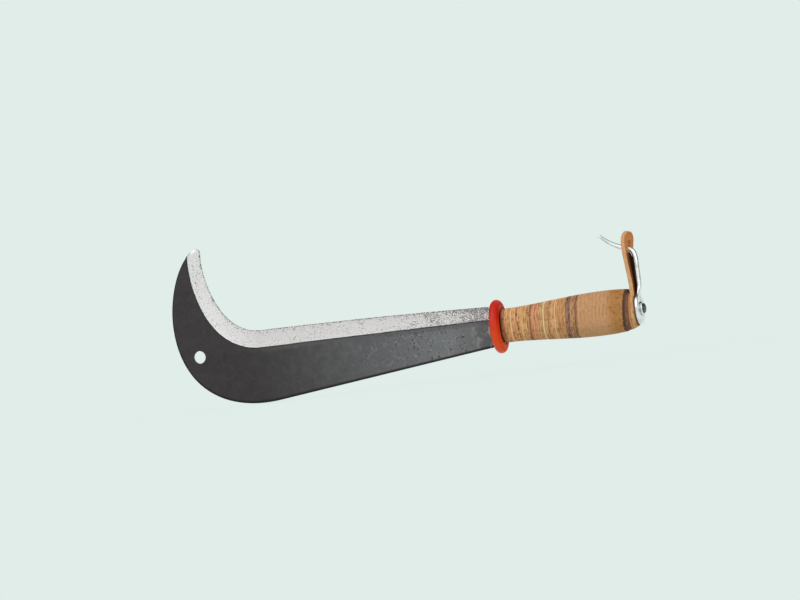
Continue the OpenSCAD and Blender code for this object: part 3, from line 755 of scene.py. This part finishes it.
for i, letter in enumerate(frontColors):
    x0 = grip["frontX"] + i * grip["frontThick"]
    x1 = x0 + grip["frontThick"]
    makeWasher(f"frontWasher{i + 1}", f"front_washer_{i + 1}", frontLeathers[letter],
               (x0, leanAt(x0)), (x1, leanAt(x1)), seed=i + 1)
for i in range(grip["rearCount"]):
    x0 = grip["rearX"] + i * grip["rearThick"]
    x1 = x0 + grip["rearThick"]
    makeWasher(f"rearWasher{i + 1}", f"rear_washer_{i + 1}", tanRear,
               (x0, leanAt(x0)), (x1, leanAt(x1)), seed=i + 31, uneven=0.03, soft=0.07)
darkFace, brownFace = (grip["darkX"], grip["lean"]), (grip["brownX"], grip["lean"])
baseFace, buttFace = (grip["strapX"], grip["lean"] / 2), (grip["buttX"], 0.0)
makeWasher("darkWasher", "dark_washer", blackLeather, darkFace, brownFace,
           seed=51, uneven=0.06)
makeWasher("brownWasher", "brown_washer", brownLeather, brownFace, baseFace,
           seed=52, uneven=0.06, soft=0.3, domed=True)
makeWasher("strapBase", "strap_base", baseLeather, baseFace, buttFace,
           seed=53, uneven=0.05, soft=0.3, domed=True)
print("grip: 35 rings of leather")


# keeper strap: a tongue of leather that stands up from its base, turned a little towards its free end

strap = {
    "line": points((119.3, 20), (118.9, 34.5), (116.9, 49), (120.6, 63.5)),
    "foot": 11.0,                           # starts inside the base
    "flex": 20.0,
    "top": 63.5,
    "halfWidth": 9.0,
    "thick": 3.4,
    "corner": 0.7,
    "twist": 19.0,
    "slot": (42.3, 56.7, 2.8),              # low end, high end, half width
    "slotShadeTop": 50.5,                       # its walls are painted dark as shade up to here, where the arm rests
    "rows": 72, "straightRows": 0.72,       # rows along it, and their share below the rounded end
    "cornerPoints": 4,
}


def strapPlace(co):
    # straight strip (X through it, Y across, Z along) to its bowed and turned place
    along = (co.z - strap["flex"]) / (strap["top"] - strap["flex"])
    if along < 0:
        middle, way = Vector((strap["line"][0].x, co.z)), Vector((0, 1))
    else:
        middle, way = curvePoint(strap["line"], along), curveDir(strap["line"], along)
    way = Vector((0, 1)).lerp(way, max(0, min(1, along * 4))).normalized()     # leaves the base straight
    turn = math.radians(strap["twist"]) * max(0, along) ** 1.6                  # turns most near the top
    through = co.x * math.cos(turn) + co.y * math.sin(turn)
    across = co.y * math.cos(turn) - co.x * math.sin(turn)
    return Vector((middle.x + through * way.y, across, middle.y - through * way.x))


def strapStrip():
    half, full = strap["thick"] / 2, strap["halfWidth"]
    straight = strap["top"] - full
    turns = [math.pi / 2 * step / (strap["cornerPoints"] - 1) for step in range(strap["cornerPoints"])]
    # one corner after another of a rounded strip: its two sides and the turn round it
    shape = [(sx, sy, a) for sx, sy in ((1, -1), (1, 1), (-1, 1), (-1, -1)) for a in turns]

    def place(i, k):
        s, most = i / strap["rows"], strap["straightRows"]
        z = strap["foot"] + (straight - strap["foot"]) * s / most
        width = full
        if s >= most:                       # round the free end over
            z = straight + full * math.sin(math.pi / 2 * (s - most) / (1 - most))
            width = math.sqrt(max(0.0, full ** 2 - (z - straight) ** 2))
        sx, sy, a = shape[k]
        r = min(strap["corner"], width)
        dx, dy = math.cos(a), math.sin(a)
        if sx * sy < 0:
            dx, dy = dy, dx
        return Vector((sx * (half - r + r * dx), sy * (max(0, width - r) + r * dy), z))

    return gridMesh(strap["rows"], len(shape), place)


def slotDrill():
    low, high, half = strap["slot"]
    start, through = -10, 20                # well in front of the strap, and well past it
    drill = bmesh.new()
    bmesh.ops.create_circle(drill, cap_ends=True, segments=48, radius=half,
                            matrix=Matrix.Rotation(math.pi / 2, 4, "Y"))
    for vert in drill.verts:                # draw the circle out into a slot
        vert.co.z += (high - half if vert.co.z > 0 else low + half)
        vert.co.x = start
    sides = [e for e in drill.edges if abs(e.verts[0].co.z - e.verts[1].co.z) > half]
    bmesh.ops.subdivide_edges(drill, edges=sides, cuts=12)     # so that they can bend with the strap
    walls = bmesh.ops.extrude_face_region(drill, geom=drill.faces[:])
    moved = [g for g in walls["geom"] if isinstance(g, bmesh.types.BMVert)]
    bmesh.ops.translate(drill, vec=(through, 0, 0), verts=moved)
    bmesh.ops.recalc_face_normals(drill, faces=drill.faces)
    return drill


def makeStrap():
    bm = cutOut(strapStrip(), slotDrill())
    bm.normal_update()
    low, high, slotHalf = strap["slot"]
    for face in bm.faces:
        middle = face.calc_center_median()
        inSlot = abs(middle.y) < slotHalf + 0.01 and low - 0.1 < middle.z < high + 0.1
        brown = abs(face.normal.x) > 0.75 or inSlot and middle.z > strap["slotShadeTop"]
        # broad faces and the top of the slot are brown, its walls at the arm dark with painted shade, and the
        # rest is cut edge
        face.material_index = 0 if brown else 2 if inSlot else 1
    for vert in bm.verts:
        vert.co = strapPlace(vert.co)
    bmesh.ops.recalc_face_normals(bm, faces=bm.faces)
    looks = [strapSkin, strapEdge, strapSlotShade]
    piece = finishPiece(bm, "keeperStrap", looks, ["strap_tongue"], body=None)
    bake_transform(piece, "tool", "keeper", start=(0.1193, 0, 0.0155), end=(0.1193, 0, 0.0245))
    return piece


strapPiece = makeStrap()
print("strap:", len(strapPiece.data.polygons), "faces")


# belt hook: flat eye, neck, shank, bend and tapering arm

hook = {
    "runs": [
        points((122.35, 7.8), (122.35, 14), (124, 15), (124, 21)),
        points((124, 21), (124, 26.7), (124, 32.3), (124, 38)),
        points((124, 38), (124, 46.7), (122.3, 48.1), (118.3, 49.5)),
        points((118.3, 49.5), (109.8, 52.3), (103.3, 55.8), (97.1, 62.2)),
    ],
    "rows": (16, 8, 20, 28), "tipRows": 8, "around": 28,
    "radii": (2.4, 2.4, 2.2, 1.2),          # of the bar at the end of each run
    "neck": (1.1, 5.2),                     # half depth and half width where it leaves the eye
    "eyeX": (121.1, 123.6), "eyeRadius": 13.0, "eyeBore": 3.55, "eyeRound": 0.9, "eyeChamfer": 0.3,
}


def hookRing(i):
    # middle, direction and half sizes of one ring along the bar
    run, t = station(hook["rows"], i)
    radii, line = hook["radii"], hook["runs"][run]
    if run == 0:                            # flat at the eye, round at the shank
        flat = math.cos(math.pi / 2 * t) ** 2
        halfX, halfY = [radii[0] + (neck - radii[0]) * flat for neck in hook["neck"]]
    else:
        halfX = halfY = radii[run - 1] + (radii[run] - radii[run - 1]) * t
    return curvePoint(line, t), curveDir(line, t), halfX, halfY


def makeHook():
    last, tip = sum(hook["rows"]), hook["radii"][-1]

    def place(i, k):
        middle, way, halfX, halfY = hookRing(min(i, last))
        if i > last:                        # round the end over
            a = math.pi / 2 * (i - last) / hook["tipRows"]
            middle = middle + way * tip * math.sin(a)
            halfX = halfY = max(0.0, tip * math.cos(a))
        turn = 2 * math.pi * k / hook["around"]
        side = halfX * math.cos(turn)
        return Vector((middle.x + side * way.y, halfY * math.sin(turn), middle.y - side * way.x))

    bm = gridMesh(last + hook["tipRows"], hook["around"], place)
    (x0, x1), radius, chamfer = hook["eyeX"], hook["eyeRadius"], hook["eyeChamfer"]
    outline = [(x0, hook["eyeBore"]), (x0, radius - chamfer), (x0 + chamfer, radius)]
    outline += cornerArc(x1, radius, hook["eyeRound"], steps=8)
    outline.append((x1, hook["eyeBore"]))
    lathe(bm, outline, steps=72)
    return finishPiece(bm, "beltHook", [platedMetal], ["belt_hook"], smoothAngle=45)


hookPiece = makeHook()
print("hook:", len(hookPiece.data.polygons), "faces")


# burr and the peened end of the tang

peen = {
    "burrX": (123.6, 125.4), "burrRadius": 5.5, "burrBore": 3.55, "burrRound": 0.5,
    "headX": (125.4, 127.6), "headRadius": 4.25, "headRim": 0.25, "headSunk": 1.5,
    "dents": 0.35, "dentScale": 1.7, "rimDents": 0.42,     # depth on the crown, how close, depth on the rim
}


def makeBurr():
    (x0, x1), radius, bore = peen["burrX"], peen["burrRadius"], peen["burrBore"]
    bm = bmesh.new()
    outline = [(x0, bore), (x0, radius), *cornerArc(x1, radius, peen["burrRound"], steps=5), (x1, bore)]
    lathe(bm, outline, steps=48)
    finishPiece(bm, "burrWasher", [platedMetal], ["burr"], smoothAngle=40)


def makePeenedHead():
    (x0, x1), rim = peen["headX"], peen["headRim"]
    bm = bmesh.new()
    bmesh.ops.create_uvsphere(bm, u_segments=40, v_segments=24, radius=1.0,
                              matrix=Matrix.Rotation(math.pi / 2, 4, "Y"))
    for vert in bm.verts:                   # a ball flattened on to the burr, with dents from the hammer
        wave = ripple(61, *(vert.co * peen["dentScale"]))
        out = math.hypot(vert.co.y, vert.co.z)
        reach = peen["headRadius"] + (peen["rimDents"] * wave if out > 0.5 else 0)
        x = x0 + rim + vert.co.x * (x1 - x0 - rim if vert.co.x > 0 else peen["headSunk"])
        if vert.co.x > 0.3:
            x -= max(0, peen["dents"] * wave)
        vert.co = (min(x1, x), vert.co.y * reach, vert.co.z * reach)
    bmesh.ops.recalc_face_normals(bm, faces=bm.faces)
    finishPiece(bm, "peenedHead", [peenedMetal], None, smoothAngle=40)


makeBurr()
makePeenedHead()
print("burr and peened head made")


# studio: pale floor, pale surround, soft lights (floor in millimetres, lights in metres)

studio = {
    "pale": "#e1ede9",
    "floorZ": -38.6, "floorHalf": 6000,
    "shadow": (200, 550, 0.05),             # fades from here, to here, and its strength
    "worldLevel": 0.5,
    "card": "#2c2d2c",
    "cardTurn": 0.42,                       # how far behind the object the cards stand
    "cardHalf": (0.28, 0.4),                # where their soft edges start and end
    "aim": (-0.07, 0, 0.03),
    "key": {"at": (-1.2, -1.8, 1.9), "size": 2.0, "power": 30},
    "fill": {"at": (1.5, -1.6, 0.8), "size": 1.4, "power": 10},
    "rim": {"at": (0.3, 1.8, 1.8), "size": 1.4, "power": 14},
}


def paleFloor():
    # matt paper: plain and pale, with a faint shadow near the object that fades into the surround
    pale, (near, far, strength) = studio["pale"], studio["shadow"]
    looks = {"Base Color": pale, "Roughness": 1.0, "Specular IOR Level": 0.0}
    material, tree, shader, mm = newMaterial("palePaperFloor", looks)
    glow = addNode(tree, "Emission", {"Color": pale})
    off = addNode(tree, "VectorMath", [mm], operation="LENGTH")
    fade = addNode(tree, "MapRange", [off, near, far, strength, 0], interpolation_type="SMOOTHSTEP")
    path = addNode(tree, "LightPath").outputs
    seen = addNode(tree, "Math", [path["Is Camera Ray"], path["Is Glossy Ray"]], operation="MAXIMUM")
    # what the camera and reflections see is mostly plain colour, and other rays see the paper itself
    paper = addNode(tree, "Mix", {0: seen, 2: 1.0, 3: fade}, data_type="FLOAT")
    mixed = addNode(tree, "MixShader", [paper, glow, shader])
    setInputs(tree.nodes["Material Output"], {"Surface": mixed})
    return material


def makeFloor():
    bm = bmesh.new()
    bmesh.ops.create_grid(bm, x_segments=4, y_segments=4, size=studio["floorHalf"])
    bmesh.ops.translate(bm, vec=(0, 0, studio["floorZ"]), verts=bm.verts)
    floor = finishPiece(bm, "floor", [paleFloor()], body=None)


def makeWorld():
    world = bpy.data.worlds.new("studio")
    bpy.context.scene.world = world
    world.use_nodes = True
    tree = world.node_tree
    light = tree.nodes["Background"]
    setInputs(light, {"Color": (1, 1, 1, 1), "Strength": studio["worldLevel"]})
    path = addNode(tree, "LightPath").outputs
    # grey cards out of sight beside and above the object, mirrored by polished parts as thin dark outlines
    coords = addNode(tree, "TexCoord").outputs["Generated"]
    y = addNode(tree, "SeparateXYZ", [coords]).outputs["Y"]
    card = nearness(tree, y, studio["cardTurn"], *studio["cardHalf"], 1, 0)
    mirrored = addNode(tree, "Math", [card, path["Is Glossy Ray"]])
    tone = addNode(tree, "Mix", {0: mirrored, 6: studio["pale"], 7: studio["card"]})
    seen = addNode(tree, "Background", {"Color": tone})
    first = addNode(tree, "Math", [path["Is Camera Ray"], path["Is Glossy Ray"]], operation="MAXIMUM")
    every = addNode(tree, "Math", [first, path["Is Transmission Ray"]], operation="MAXIMUM")
    mixed = addNode(tree, "MixShader", [every, light, seen])
    setInputs(tree.nodes["World Output"], {"Surface": mixed})


def makeLights():
    for name in ("key", "fill", "rim"):
        lamp = bpy.data.lights.new(name, "AREA")
        lamp.size = studio[name]["size"]
        lamp.energy = studio[name]["power"]
        light = bpy.data.objects.new(name, lamp)
        light.location = studio[name]["at"]
        light.visible_glossy = name != "rim"    # the rim lamp would hide the cards in reflections
        aim = Vector(studio["aim"]) - light.location
        light.rotation_euler = aim.to_track_quat("-Z", "Y").to_euler()
        bpy.context.scene.collection.objects.link(light)


camera = {
    "target": (-0.07605, 0.0, 0.03184),
    "distance": 4.0,
    "yaw": 15.0,
    "roll": -7.4,
    "lens": 219.5,
}


def makeCamera():
    lens = bpy.data.cameras.new("camera")
    lens.lens = camera["lens"]
    view = bpy.data.objects.new("camera", lens)
    turn = Euler((math.pi / 2, 0, math.radians(camera["yaw"]))).to_matrix()
    turn = turn @ Matrix.Rotation(math.radians(camera["roll"]), 3, "Z")
    view.location = Vector(camera["target"]) + turn @ Vector((0, 0, camera["distance"]))
    view.rotation_euler = turn.to_euler()
    bpy.context.scene.collection.objects.link(view)
    bpy.context.scene.camera = view


makeFloor()
makeWorld()
makeLights()
makeCamera()
bpy.context.scene.view_settings.view_transform = "Standard"
print("studio set")

bpy.context.view_layer.update()
